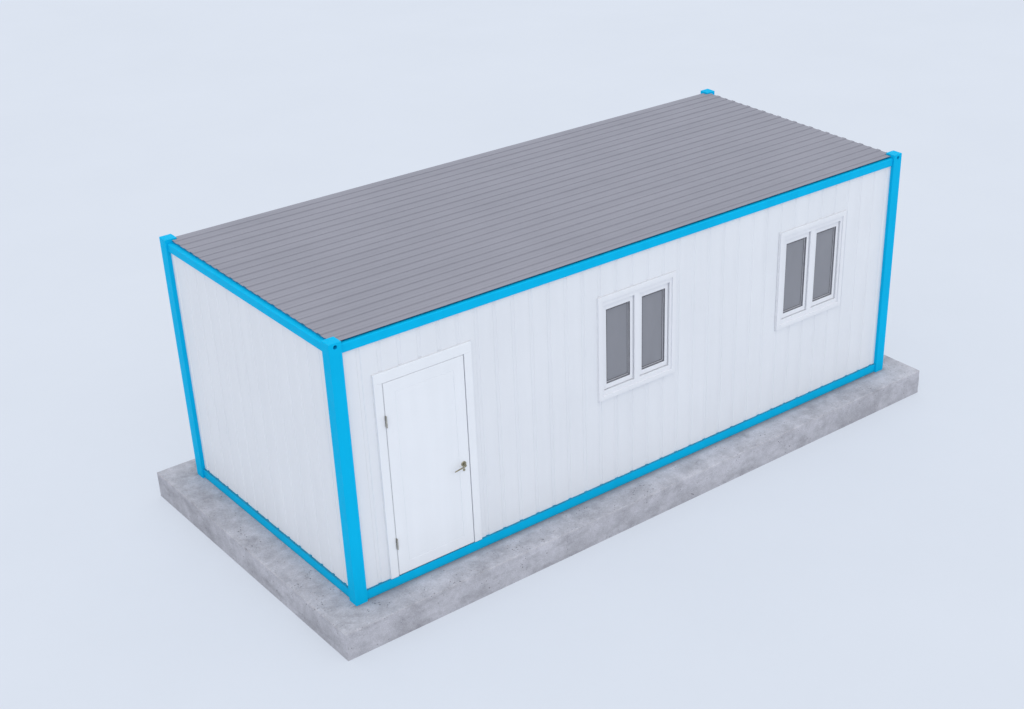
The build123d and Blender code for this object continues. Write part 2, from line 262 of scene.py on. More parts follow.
# Painted shade on the upper runs of the casing beads and over the door leaf
BEAD_SHADE_LIGHT = (0.62, 0.635, 0.675, 1)
BEAD_SHADE_DARK = (0.56, 0.575, 0.615, 1)
BRASS_LIGHT = (0.46, 0.42, 0.30, 1)
BRASS_DARK = (0.205, 0.185, 0.125, 1)
BRASS_WORN = (0.70, 0.64, 0.47, 1)
HINGE_LIGHT = (0.54, 0.52, 0.47, 1)
HINGE_DARK = (0.34, 0.325, 0.29, 1)
GLASS_LIGHT = (0.328, 0.337, 0.379, 1)
GLASS_DARK = (0.303, 0.311, 0.352, 1)
STAGE_LIGHT = (0.629, 0.672, 0.745, 1)
STAGE_DARK = (0.612, 0.655, 0.728, 1)
GLOW_LIGHT = (0.700, 0.757, 0.862, 1)
GLOW_DARK = (0.690, 0.747, 0.850, 1)
STAGE_GLOW = 0.55
SKY_SHOWN = (0.713, 0.773, 0.872, 1)
SKY_LIGHT = (0.97, 0.985, 1.0, 1)


class Shader:
    """One material: its Principled shader and short ways to add and link nodes."""

    def __init__(self, name, **constants):
        self.material = bpy.data.materials.new(name)
        self.material.use_nodes = True
        self.tree = self.material.node_tree
        self.principled = self.tree.nodes["Principled BSDF"]
        for socket, value in constants.items():
            self.principled.inputs[socket.replace("_", " ")].default_value = value
        self.place = self.add("ShaderNodeTexCoord").outputs["Object"]

    def add(self, kind, **settings):
        node = self.tree.nodes.new(kind)
        for key, value in settings.items():
            setattr(node, key, value)
        return node

    def feed(self, socket, value):
        """Link a node's output to a socket, or set a plain value on it."""
        if isinstance(value, bpy.types.NodeSocket):
            self.tree.links.new(value, socket)
        else:
            socket.default_value = value

    def stretched(self, scale):
        """Object coordinates scaled along each axis, for streaks and grain."""
        mapping = self.add("ShaderNodeMapping")
        self.feed(mapping.inputs["Vector"], self.place)
        mapping.inputs["Scale"].default_value = scale
        return mapping.outputs["Vector"]

    def noise(self, scale, detail=4.0, roughness=0.55, place=None):
        node = self.add("ShaderNodeTexNoise")
        self.feed(node.inputs["Vector"], place or self.place)
        node.inputs["Scale"].default_value = scale
        node.inputs["Detail"].default_value = detail
        node.inputs["Roughness"].default_value = roughness
        return node.outputs["Fac"]

    def cells(self, scale):
        """Distance to the nearest of many scattered points."""
        node = self.add("ShaderNodeTexVoronoi")
        self.feed(node.inputs["Vector"], self.place)
        node.inputs["Scale"].default_value = scale
        return node.outputs["Distance"]

    def along(self, axis):
        """Object coordinate along one axis."""
        split = self.add("ShaderNodeSeparateXYZ")
        self.feed(split.inputs["Vector"], self.place)
        return split.outputs[axis]

    def band(self, axis, middle, reach, strength):
        """A mask that fades from its strength at a place along an axis to nothing at its reach."""
        away = self.math("ABSOLUTE", self.math("SUBTRACT", self.along(axis), middle))
        return self.ramp(away, 0.0, reach, strength, 0.0)

    def ramp(self, value, low, high, start=0.0, end=1.0):
        """A clamped straight ramp: low gives start and high gives end."""
        node = self.add("ShaderNodeMapRange")
        self.feed(node.inputs["Value"], value)
        node.inputs["From Min"].default_value = low
        node.inputs["From Max"].default_value = high
        node.inputs["To Min"].default_value = start
        node.inputs["To Max"].default_value = end
        return node.outputs["Result"]

    def math(self, operation, first, second=0.0):
        node = self.add("ShaderNodeMath", operation=operation)
        self.feed(node.inputs[0], first)
        self.feed(node.inputs[1], second)
        return node.outputs["Value"]

    def mix(self, factor, first, second):
        """Colour from first to second; the colour sockets of the node are its 7th and 8th."""
        node = self.add("ShaderNodeMix", data_type="RGBA")
        self.feed(node.inputs["Factor"], factor)
        self.feed(node.inputs[6], first)
        self.feed(node.inputs[7], second)
        return node.outputs[2]

    def edges(self, radius):
        """A mask of one on outer edges within about that radius."""
        rounded = self.add("ShaderNodeBevel", samples=EDGE_SAMPLES)
        rounded.inputs["Radius"].default_value = radius
        geometry = self.add("ShaderNodeNewGeometry")
        dot = self.add("ShaderNodeVectorMath", operation="DOT_PRODUCT")
        self.feed(dot.inputs[0], rounded.outputs["Normal"])
        self.feed(dot.inputs[1], geometry.outputs["Normal"])
        return self.ramp(dot.outputs["Value"], EDGE_FLAT, EDGE_WORN)

    def colour(self, value):
        self.feed(self.principled.inputs["Base Color"], value)

    def roughness(self, value):
        self.feed(self.principled.inputs["Roughness"], value)

    def spread_roughness(self, value, middle, spread):
        """Roughness that a noise moves to either side of a middle value."""
        self.roughness(self.ramp(value, low=0.3, high=0.7, start=middle - spread, end=middle + spread))

    def bump(self, height, distance):
        node = self.add("ShaderNodeBump")
        node.inputs["Distance"].default_value = distance
        self.feed(node.inputs["Height"], height)
        self.feed(self.principled.inputs["Normal"], node.outputs["Normal"])


def painted(name, light, dark, worn, rough, wear, grain, depth, grime=None, bands=(), **constants):
    """Paint or plastic: cloudy colour, faint run-down streaks, fine grain and worn edges.

    Each band is the height, reach and strength of a level strip of painted shade.
    """
    look = Shader(name, **constants)
    clouds = look.noise(scale=1.7, detail=5)
    streaks = look.noise(scale=9.0, detail=3, place=look.stretched(RUN_DOWN))
    shade = look.ramp(look.math("ADD", clouds, streaks), low=0.75, high=1.25)
    colour = look.mix(shade, dark, light)
    scuffs = look.ramp(look.noise(scale=34, detail=6, roughness=0.7), low=0.48, high=0.66)
    colour = look.mix(look.math("MULTIPLY", look.edges(wear), scuffs), colour, worn)
    # Painted shade: level strips that darken towards the shade colour
    for height, reach, strength in bands:
        broken = look.ramp(look.noise(scale=14, detail=5), low=0.25, high=0.60, start=0.6, end=1.0)
        strip = look.math("MULTIPLY", look.band("Z", height, reach, strength), broken)
        colour = look.mix(strip, colour, grime)
    look.colour(colour)
    look.spread_roughness(look.noise(scale=6.5, detail=6), rough, PAINT_ROUGH_SPREAD)
    look.bump(look.noise(scale=grain, detail=2), depth)
    return look.material


def coated_roof(name):
    """Dull coated sheet: cloudy grey, drying marks along its length and painted shade on the slopes of the ribs.
    """
    look = Shader(name)
    clouds = look.noise(scale=1.3, detail=5)
    marks = look.noise(scale=5.0, detail=4, place=look.stretched(ALONG_ROOF))
    shade = look.ramp(look.math("ADD", clouds, marks), low=0.75, high=1.25)
    colour = look.mix(shade, ROOF_DARK, ROOF_LIGHT)
    # Painted shade on each rib's slopes, broken by blotches
    rib_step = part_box("roof_sheet")[1].y / ROOF_BAYS / 2
    from_rib = look.math("PINGPONG", look.along("Y"), rib_step / 2)
    from_slope = look.math("ABSOLUTE", look.math("SUBTRACT", from_rib, FOLD_OFFSET))
    blotches = look.noise(scale=7.0, detail=5, place=look.stretched(ALONG_RIBS))
    broken = look.ramp(blotches, low=0.25, high=0.65, start=0.72, end=1.0)
    lines = look.math("MULTIPLY", look.ramp(from_slope, 0.0, FOLD_REACH, FOLD_SHADE, 0.0), broken)
    colour = look.mix(lines, colour, ROOF_SHADE)
    rubbing = look.noise(scale=30, detail=6, roughness=0.7)
    scuffs = look.ramp(rubbing, low=0.52, high=0.70, start=0.0, end=0.6)
    look.colour(look.mix(look.math("MULTIPLY", look.edges(ROOF_WEAR), scuffs), colour, ROOF_WORN))
    look.roughness(look.ramp(look.noise(scale=6.0, detail=6), low=0.3, high=0.7, start=0.48, end=0.62))
    look.bump(look.noise(scale=260, detail=2), distance=0.0004)
    return look.material


def mottled(name, light, dark, rough, scale, grain, depth):
    """Rubber, sealant, board or floor covering: two shades in soft patches over a fine grain."""
    look = Shader(name)
    patches = look.noise(scale, detail=7, roughness=0.62)
    look.colour(look.mix(look.ramp(patches, low=0.33, high=0.67), dark, light))
    sheen = look.noise(scale * MOTTLE_ROUGH_SCALE_SHARE, detail=4)
    look.spread_roughness(sheen, rough, MOTTLE_ROUGH_SPREAD)
    look.bump(look.noise(scale=grain, detail=3), depth)
    return look.material


def concrete(name):
    """Cast concrete: blotchy greys, damp patches, grain, pores, rubbed edges, painted shade beside the base rails
    and a darkening towards the bottom.
    """
    look = Shader(name)
    clouds = look.noise(scale=1.5, detail=6, roughness=0.6)
    patches = look.noise(scale=8.0, detail=8, roughness=0.7)
    grain = look.noise(scale=70, detail=5, roughness=0.75)
    tone = look.math("ADD", look.math("ADD", clouds, patches), grain)
    colour = look.mix(look.ramp(tone, low=1.26, high=1.74), CONCRETE_MID, CONCRETE_LIGHT)
    damp = look.noise(scale=3.4, detail=9, roughness=0.72, place=look.stretched(LEVEL_DAMP))
    wet = look.ramp(damp, low=0.50, high=0.74, start=0.0, end=0.60)
    colour = look.mix(wet, colour, CONCRETE_DARK)
    spread = look.ramp(look.noise(scale=5.0, detail=3), low=0.38, high=0.68, start=0.0, end=0.26)
    pores = look.ramp(look.math("SUBTRACT", spread, look.cells(scale=30)), low=0.0, high=0.06)
    colour = look.mix(look.math("MULTIPLY", pores, PORE_STRENGTH), colour, CONCRETE_DARK)
    specks = look.noise(scale=115, detail=3, roughness=0.7)
    flecks = look.ramp(specks, low=0.56, high=0.74, start=0.0, end=0.45)
    colour = look.mix(flecks, colour, CONCRETE_DARK)
    rubbing = look.ramp(patches, low=0.45, high=0.65, start=0.0, end=0.45)
    rubbed = look.math("MULTIPLY", look.edges(CONCRETE_WEAR), rubbing)
    colour = look.mix(rubbed, colour, CONCRETE_LIGHT)
    # Painted shade on the top of the plinth along the base rails of the two long walls.
    rail_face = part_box("base_rail_back")[1].y
    wall_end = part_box("post_back_right")[1].x
    plinth_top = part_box("plinth")[1].z
    before_rail = look.math("SUBTRACT", look.math("ABSOLUTE", look.along("Y")), rail_face)
    contact_shade = look.ramp(before_rail, 0.0, CONTACT_SHADE_REACH, CONTACT_SHADE_STRENGTH, 0.0)
    contact_shade = look.math("MULTIPLY", contact_shade, look.ramp(before_rail, -CONTACT_SHADE_FADE, 0.0))
    from_middle = look.math("ABSOLUTE", look.along("X"))
    beside_wall = look.ramp(from_middle, wall_end, wall_end + CONTACT_SHADE_REACH, start=1.0, end=0.0)
    on_top = look.ramp(look.along("Z"), plinth_top - 2 * CHIP_DEPTH, plinth_top - CHIP_DEPTH)
    contact_shade = look.math("MULTIPLY", contact_shade, look.math("MULTIPLY", beside_wall, on_top))
    contact_shade = look.math("MULTIPLY", contact_shade, look.ramp(patches, low=0.25, high=0.60, start=0.75, end=1.0))
    colour = look.mix(contact_shade, colour, CONCRETE_DARK)
    # Darker towards the bottom of the plinth.
    low_darkening = look.ramp(look.along("Z"), 0.0, LOW_DARKENING_HEIGHT, LOW_DARKENING_STRENGTH, 0.0)
    look.colour(look.mix(low_darkening, colour, CONCRETE_DARK))
    look.roughness(look.ramp(patches, low=0.3, high=0.7, start=0.82, end=0.95))
    look.bump(look.math("SUBTRACT", look.math("ADD", patches, grain), pores), distance=0.004)
    return look.material


def brass(name, light, dark):
    """Tarnished brass, rubbed bright along its edges."""
    look = Shader(name, Metallic=0.85)
    tarnish = look.noise(scale=60, detail=6, roughness=0.65)
    colour = look.mix(look.ramp(tarnish, low=0.35, high=0.65), dark, light)
    look.colour(look.mix(look.edges(BRASS_WEAR), colour, BRASS_WORN))
    look.roughness(look.ramp(tarnish, low=0.3, high=0.7, start=0.28, end=0.48))
    look.bump(look.noise(scale=700, detail=2), distance=0.0002)
    return look.material


def tinted_glass(name):
    """Grey pane, a little see-through, with faint cloudy smears."""
    look = Shader(name, IOR=1.45, Transmission_Weight=0.3)
    smears = look.noise(scale=4.5, detail=5, place=look.stretched(UPRIGHT_SMEARS))
    look.colour(look.mix(look.ramp(smears, low=0.3, high=0.7), GLASS_DARK, GLASS_LIGHT))
    look.roughness(look.ramp(smears, low=0.35, high=0.75, start=0.05, end=0.14))
    look.bump(look.noise(scale=1.2, detail=1), distance=0.0006)
    return look.material


def seen_rays(tree):
    """A mask of one for the rays that show a surface to the camera, straight or through glass."""
    rays = tree.nodes.new("ShaderNodeLightPath")
    shown = rays.outputs["Is Camera Ray"]
    for name in ("Is Glossy Ray", "Is Transmission Ray"):
        either = tree.nodes.new("ShaderNodeMath")
        either.operation = "MAXIMUM"
        tree.links.new(shown, either.inputs[0])
        tree.links.new(rays.outputs[name], either.inputs[1])
        shown = either.outputs["Value"]
    return shown


def stage_look(name):
    """Pale floor that partly glows as it is seen, so that the cabin's shadow on it stays faint."""
    look = Shader(name)
    patches = look.ramp(look.noise(scale=0.4, detail=7, roughness=0.62), low=0.33, high=0.67)
    look.colour(look.mix(patches, STAGE_DARK, STAGE_LIGHT))
    look.roughness(look.ramp(look.noise(scale=1.2, detail=4), low=0.3, high=0.7, start=0.84, end=0.96))
    glow = look.add("ShaderNodeEmission")
    look.feed(glow.inputs["Color"], look.mix(patches, GLOW_DARK, GLOW_LIGHT))
    choose = look.add("ShaderNodeMixShader")
    look.feed(choose.inputs["Fac"], look.math("MULTIPLY", seen_rays(look.tree), STAGE_GLOW))
    look.feed(choose.inputs[1], look.principled.outputs["BSDF"])
    look.feed(choose.inputs[2], glow.outputs["Emission"])
    look.feed(look.tree.nodes["Material Output"].inputs["Surface"], choose.outputs["Shader"])
    return look.material


def add_piece(name, mesh, body, materials, replaced=(), smooth=False):
    """Make a piece from a bmesh; it rides on a body and may stand for CAD nodes."""
    data = bpy.data.meshes.new(name)
    bmesh.ops.recalc_face_normals(mesh, faces=mesh.faces)
    mesh.to_mesh(data)
    mesh.free()
    if smooth:
        data.shade_smooth()
        data.set_sharp_from_angle(angle=SHARP_ANGLE)
    for material in materials:
        data.materials.append(material)
    piece = bpy.data.objects.new(name, data)
    bpy.context.scene.collection.objects.link(piece)
    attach(piece, body)
    if replaced:
        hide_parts(*replaced)
    return piece


def merged_copy(node):
    """A bmesh of a CAD node with its split vertices joined."""
    mesh = bmesh.new()
    mesh.from_mesh(frame["nodes"][node].data)
    bmesh.ops.remove_doubles(mesh, verts=mesh.verts, dist=MERGE_DISTANCE)
    return mesh


def solids(node):
    """The box of each separate solid in a CAD node, ordered by place."""
    mesh = merged_copy(node)
    waiting = set(mesh.verts)
    boxes = []
    while waiting:
        reached = [waiting.pop()]
        for vert in reached:
            for edge in vert.link_edges:
                other = edge.other_vert(vert)
                if other in waiting:
                    waiting.remove(other)
                    reached.append(other)
        spans = [[vert.co[axis] for vert in reached] for axis in range(3)]
        boxes.append((Vector([min(span) for span in spans]), Vector([max(span) for span in spans])))
    mesh.free()
    return sorted(boxes, key=lambda box: tuple(round(value, PLACE_DIGITS) for value in box[0]))


def slope_panels(mesh):
    """Raise the field of each sunk door panel, so that a groove runs round it."""
    leaf_low, leaf_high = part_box("door_leaf")
    for face in list(mesh.faces):
        sunk = leaf_low.y + PANEL_RISE < face.calc_center_median().y < leaf_high.y - PANEL_RISE
        if sunk and abs(face.normal.y) > FACING_SHARE:
            bmesh.ops.inset_individual(mesh, faces=[face], thickness=PANEL_SLOPE, depth=PANEL_RISE)


def round_off(mesh, edges, width):
    """Round the sharp ones of some edges."""
    sharp = [edge for edge in edges if edge.is_manifold and edge.calc_face_angle() > SHARP_ANGLE]
    bmesh.ops.bevel(
        mesh,
        geom=sharp,
        offset=width,
        segments=ROUNDING_STEPS,
        profile=ROUND_PROFILE,
        affect="EDGES",
        clamp_overlap=True,
    )


def at_corner(place, box):
    """Whether a place is at a corner of a box."""
    low, high = box
    return all(min(place[axis] - low[axis], high[axis] - place[axis]) < MERGE_DISTANCE for axis in range(3))


def soften(node, width, material, shape=None, rim_width=None):
    """Show a CAD node with its sharp edges rounded, after a change of shape where one is given.

    The edges of the node's own box may be rounded by a width of their own.
    """
    mesh = merged_copy(node)
    bmesh.ops.dissolve_limit(mesh, angle_limit=FLAT_ANGLE, verts=mesh.verts, edges=mesh.edges)
    if shape:
        shape(mesh)
    if rim_width:
        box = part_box(node)
        rim = [edge for edge in mesh.edges if all(at_corner(vert.co, box) for vert in edge.verts)]
        round_off(mesh, rim, rim_width)
    round_off(mesh, mesh.edges, width)
    for face in mesh.faces:
        face.material_index = 0
    return add_piece(f"{node}_soft", mesh, body_of[node], [material], [node])


def paint(node, material):
    """Give a CAD node that stays in view its material."""
    data = frame["nodes"][node].data
    data.materials.clear()
    data.materials.append(material)


def join_rings(mesh, rings, closed=False):
    """Skin neighbouring rings of vertices; a ring of one vertex is a tip."""
    pairs = list(zip(rings, rings[1:]))
    if closed:
        pairs.append((rings[-1], rings[0]))
    for first, second in pairs:
        count = max(len(first), len(second))
        for index in range(count):
            after = index + 1
            corners = [
                first[index % len(first)],
                first[after % len(first)],
                second[after % len(second)],
                second[index % len(second)],
            ]
            mesh.faces.new(list(dict.fromkeys(corners)))


def lathe(mesh, profile, centre, axis, closed=False):
    """Turn a profile of (radius, distance along the axis) pairs round an axis."""
    turn = axis.to_track_quat("Z", "Y")
    rings = []
    for radius, along in profile:
        count = TURN_STEPS if radius else 1
        ring = []
        for step in range(count):
            angle = math.tau * step / count
            spot = Vector((radius * math.cos(angle), radius * math.sin(angle), along))
            ring.append(mesh.verts.new(centre + turn @ spot))
        rings.append(ring)
    join_rings(mesh, rings, closed)


def sweep(mesh, path, half_sizes):
    """Skin a tube along a level path; each ring has its half width and half height."""
    rings = []
    for index, (point, (across, tall)) in enumerate(zip(path, half_sizes)):
        ahead = path[min(index + 1, len(path) - 1)] - path[max(index - 1, 0)]
        side = ahead.cross(UP).normalized()
        ring = []
        for step in range(LEVER_STEPS):
            angle = math.tau * step / LEVER_STEPS
            offset = side * (across * math.cos(angle)) + UP * (tall * math.sin(angle))
            ring.append(mesh.verts.new(point + offset))
        rings.append(ring)
    join_rings(mesh, rings)
    mesh.faces.new(rings[0])
    mesh.faces.new(rings[-1])


def groove_depth(run, phase):
    """Depth of the wall's groove at a place along the wall."""
    away = abs((run - phase + GROOVE_PITCH / 2) % GROOVE_PITCH - GROOVE_PITCH / 2)
    share = min(max((GROOVE_HALF_WIDTH - away) / GROOVE_SLOPE, 0), 1)
    return GROOVE_DEPTH * share * share * (3 - 2 * share)


def groove_stations(start, end, phase):
    """Places along a wall where its profile bends, with the wall's two ends."""
    half_offsets = [
        GROOVE_HALF_WIDTH + GROOVE_SUPPORT,
        GROOVE_HALF_WIDTH,
        GROOVE_HALF_WIDTH - GROOVE_SLOPE / 3,
        GROOVE_HALF_WIDTH - GROOVE_SLOPE * 2 / 3,
        GROOVE_HALF_WIDTH - GROOVE_SLOPE,
        GROOVE_HALF_WIDTH - GROOVE_SLOPE - GROOVE_SUPPORT,
    ]
    places = {start, end}
    first = math.floor((start - phase) / GROOVE_PITCH)
    last = math.ceil((end - phase) / GROOVE_PITCH)
    for number in range(first, last + 1):
        middle = phase + number * GROOVE_PITCH
        for offset in half_offsets:
            places.update(spot for spot in (middle - offset, middle + offset) if start < spot < end)
    return sorted(places)


def grooved_wall(node, run_axis, outward, phase, material):
    """Show a wall node as a sheet with upright grooves outside and a flat inner face."""
    mesh = bmesh.new()
    face_axis = 1 - run_axis
    for low, high in solids(node):
        outer = low[face_axis] if outward < 0 else high[face_axis]
        inner = high[face_axis] if outward < 0 else low[face_axis]
        columns = []
        for run in groove_stations(low[run_axis], high[run_axis], phase):
            skin = outer - outward * groove_depth(run, phase)
            column = []
            for depth, z in ((skin, low.z), (skin, high.z), (inner, high.z), (inner, low.z)):
                spot = Vector((0, 0, z))
                spot[run_axis] = run
                spot[face_axis] = depth
                column.append(mesh.verts.new(spot))
            columns.append(column)
        join_rings(mesh, columns)
        mesh.faces.new(columns[0])
        mesh.faces.new(columns[-1])
    return add_piece(f"{node}_sheet", mesh, body_of[node], [material], [node], smooth=True)


def lattice_lines(start, end):
    """Grid lines along one side of the plinth, with a narrow strip at each edge."""
    inside_start = start + PLINTH_EDGE_CELL
    inside_end = end - PLINTH_EDGE_CELL
    count = max(1, round((inside_end - inside_start) / PLINTH_CELL))
    step = (inside_end - inside_start) / count
    return [start] + [inside_start + step * index for index in range(count + 1)] + [end]


def worn_plinth(node, materials):
    """Show the plinth with chipped edges and open pits in its faces."""
    low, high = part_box(node)
    cabin_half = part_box("post_back_right")[1]
    lines = [lattice_lines(low[axis], high[axis]) for axis in range(3)]
    mesh = bmesh.new()
    corners = {}

    def corner(key):
        if key not in corners:
            corners[key] = mesh.verts.new([lines[axis][key[axis]] for axis in range(3)])
        return corners[key]

    open_faces = []
    for axis in range(3):
        across, along = (axis + 1) % 3, (axis + 2) % 3
        for level in (0, len(lines[axis]) - 1):
            for first in range(len(lines[across]) - 1):
                for second in range(len(lines[along]) - 1):
                    quad = []
                    for step in ((0, 0), (1, 0), (1, 1), (0, 1)):
                        key = [0, 0, 0]
                        key[axis] = level
                        key[across] = first + step[0]
                        key[along] = second + step[1]
                        quad.append(corner(tuple(key)))
                    face = mesh.faces.new(quad)
                    inner = 0 < first < len(lines[across]) - 2 and 0 < second < len(lines[along]) - 2
                    middle = face.calc_center_median()
                    covered = abs(middle.x) < cabin_half.x and abs(middle.y) < cabin_half.y
                    if inner and not (axis == 2 and (level == 0 or covered)):
                        open_faces.append(face)
    last = [len(line) - 1 for line in lines]
    for key, vert in corners.items():
        rims = [axis for axis in range(3) if key[axis] in (0, last[axis])]
        if len(rims) < 2 or key[2] == 0:
            continue
        ripple = noise_field.noise(vert.co * CHIP_SCALE)
        ripple += CHIP_FINE_SHARE * noise_field.noise(vert.co * CHIP_FINE_SCALE)
        chip = CHIP_DEPTH * min(1, CHIP_LEAST_SHARE + max(0, ripple - CHIP_THRESHOLD) * CHIP_GAIN)
        for axis in rims:
            vert.co[axis] += chip if key[axis] == 0 else -chip
    bmesh.ops.recalc_face_normals(mesh, faces=mesh.faces)
    for pit in rng.sample(open_faces, PIT_COUNT):
        share = rng.uniform(*PIT_MARGIN_SHARES)
        depth = PIT_DEPTH * rng.uniform(*PIT_DEPTH_SHARES)
        bmesh.ops.inset_individual(mesh, faces=[pit], thickness=PLINTH_CELL * share, depth=0)
        for edge in list(pit.edges):
            bmesh.utils.edge_split(edge, edge.verts[0], 1 / 2)
        middle = pit.calc_center_median()
        radius = PLINTH_CELL * (1 / 2 - share)
        facing = max(range(3), key=lambda axis: abs(pit.normal[axis]))
        for vert in pit.verts:
            level = vert.co[facing]
            vert.co = middle + (vert.co - middle).normalized() * radius * rng.uniform(*PIT_RADIUS_SHARES)
            vert.co[facing] = level
        # The pits take the second, darker material as painted shade.
        pit.material_index = 1
        bmesh.ops.inset_individual(mesh, faces=[pit], thickness=radius * PIT_WALL_SHARE, depth=-depth)
    return add_piece("plinth_cast", mesh, body_of[node], materials, [node])


def gaskets(node, materials):
    """Rubber lining round each pane, up to its sash's face, with the pane's own spacer and seal line."""
    mesh = bmesh.new()
    sash_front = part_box(node.replace("glass", "sashes"))[0].y + GASKET_SETBACK
    for low, high in solids(node):
        raised = low.y - SPACER_RISE
        for (outer, inner), front, material_index in (
            ((0, GASKET_WIDTH), sash_front, 0),
            (SPACER_INSETS, raised, 1),
            (PANE_SEAL_INSETS, raised, 2),
        ):
            before = set(mesh.faces)
            rings = []
            for inset, y in ((outer, front), (inner, front), (inner, low.y), (outer, low.y)):
                ring = []
                for x, z in (
                    (low.x + inset, low.z + inset),
                    (high.x - inset, low.z + inset),
                    (high.x - inset, high.z - inset),
                    (low.x + inset, high.z - inset),
                ):
                    ring.append(mesh.verts.new((x, y, z)))
                rings.append(ring)
            join_rings(mesh, rings, closed=True)
            for face in set(mesh.faces) - before:
                face.material_index = material_index
    return add_piece(node.replace("glass", "gaskets"), mesh, body_of[node], materials)


def block(mesh, low, high, rounding=PLATE_ROUNDING):
    """A box between two corners, with its edges eased."""
    made = bmesh.ops.create_cube(mesh, size=1)["verts"]
    for vert in made:
        share = vert.co + Vector((1, 1, 1)) / 2
        vert.co = Vector([low[axis] + (high[axis] - low[axis]) * share[axis] for axis in range(3)])
    edges = {edge for vert in made for edge in vert.link_edges}
    bmesh.ops.bevel(mesh, geom=list(edges), offset=rounding, segments=1, affect="EDGES", clamp_overlap=True)


def hinge_halves(node, plate_x, finial_above, material):
    """Turned knuckles with a finial, each on a screwed plate in the gap beside the leaf."""
    mesh = bmesh.new()
    pin = joint_place["door_hinge"]
    for low, high in solids(node):
        bottom = high.z - KNUCKLE_HEIGHT if finial_above else low.z
        knuckle = Vector((pin.x, pin.y, bottom))
        profile = [
            (KNUCKLE_NECK, 0),
            (KNUCKLE_RADIUS - KNUCKLE_EASE, 0),
            (KNUCKLE_RADIUS, KNUCKLE_EASE),
            (KNUCKLE_RADIUS, KNUCKLE_HEIGHT - KNUCKLE_EASE),
            (KNUCKLE_RADIUS - KNUCKLE_EASE, KNUCKLE_HEIGHT),
            (KNUCKLE_NECK, KNUCKLE_HEIGHT),
        ]
        finial = [(KNUCKLE_RADIUS * wide, FINIAL_HEIGHT * tall) for wide, tall in FINIAL_SHARES]
        finial.append((0, FINIAL_HEIGHT))
        if finial_above:
            profile = [(0, 0)] + profile + [(radius, KNUCKLE_HEIGHT + rise) for radius, rise in finial]
        else:
            finial = [(radius, -rise) for radius, rise in reversed(finial)]
            profile = finial + profile + [(0, KNUCKLE_HEIGHT)]
        lathe(mesh, profile, knuckle, UP)
        plate_low = Vector((min(plate_x), pin.y, bottom + KNUCKLE_EASE))
        plate_high = Vector((max(plate_x), pin.y + PLATE_DEPTH, bottom + KNUCKLE_HEIGHT - KNUCKLE_EASE))
        block(mesh, plate_low, plate_high)
        outward = LEFTWARD if finial_above else -LEFTWARD
        for up_share, in_share in SCREW_SHARES:
            head = Vector((plate_x[1], pin.y + PLATE_DEPTH * in_share, bottom + KNUCKLE_HEIGHT * up_share))
            dome = [
                (0, -SCREW_RISE),
                (SCREW_RADIUS, -SCREW_RISE),
                (SCREW_RADIUS, 0),
                (SCREW_RADIUS * SCREW_TOP_SHARE, SCREW_RISE),
                (0, SCREW_RISE),
            ]
            lathe(mesh, dome, head, outward)
    return add_piece(f"{node}_turned", mesh, body_of[node], [material], [node], smooth=True)


def roses(node, material):
    """Domed round roses on both faces of the leaf."""
    mesh = bmesh.new()
    axis = joint_place["lever_turn"]
    leaf_low, leaf_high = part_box("door_leaf")
    dome = [(ROSE_RADIUS * wide, ROSE_THICKNESS * tall) for wide, tall in ROSE_DOME_SHARES]
    profile = [(ROSE_BORE, 0), *dome, (ROSE_BORE, ROSE_THICKNESS * ROSE_DISH_SHARE)]
    lathe(mesh, profile, Vector((axis.x, leaf_low.y, axis.z)), FRONTWARD, closed=True)
    lathe(mesh, profile, Vector((axis.x, leaf_high.y, axis.z)), BACKWARD, closed=True)
    return add_piece(f"{node}_domed", mesh, body_of[node], [material], [node], smooth=True)


def levers(node, material):
    """A bent, tapering lever on each face of the leaf, joined by the spindle."""
    mesh = bmesh.new()
    axis = joint_place["lever_turn"]
    low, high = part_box(node)
    leaf_low, leaf_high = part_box("door_leaf")
    reach = axis.x - low.x
    for face, tip, outward in ((leaf_low.y, low.y, -1), (leaf_high.y, high.y, 1)):
        bar = tip - outward * LEVER_HALF_THICKNESS
        path = [Vector((axis.x, face, axis.z)), Vector((axis.x, face + outward * ROSE_THICKNESS, axis.z))]
        sizes = [LEVER_NECK, LEVER_NECK]
        for step in range(LEVER_BEND_STEPS + 1):
            share = step / LEVER_BEND_STEPS
            angle = math.pi / 2 * share
            across = LEVER_BEND * (1 - math.cos(angle))
            along = LEVER_BEND * (1 - math.sin(angle))
            drop = across * math.tan(LEVER_DROOP)
            path.append(Vector((axis.x - across, bar - outward * along, axis.z - drop)))
            sizes.append([start - taper * share for start, taper in zip(LEVER_BEND_START, LEVER_BEND_TAPER)])
        for share, across, tall in LEVER_SECTIONS:
            run = LEVER_BEND + (reach - LEVER_BEND) * share
            drop = run * math.tan(LEVER_DROOP)
            path.append(Vector((axis.x - run, bar, axis.z - drop)))
            sizes.append((across, tall))
        sweep(mesh, path, sizes)
    spindle = [Vector((axis.x, leaf_low.y, axis.z)), Vector((axis.x, leaf_high.y, axis.z))]
    sweep(mesh, spindle, [SPINDLE_HALF_SIZES, SPINDLE_HALF_SIZES])
    return add_piece(f"{node}_bent", mesh, body_of[node], [material], [node], smooth=True)


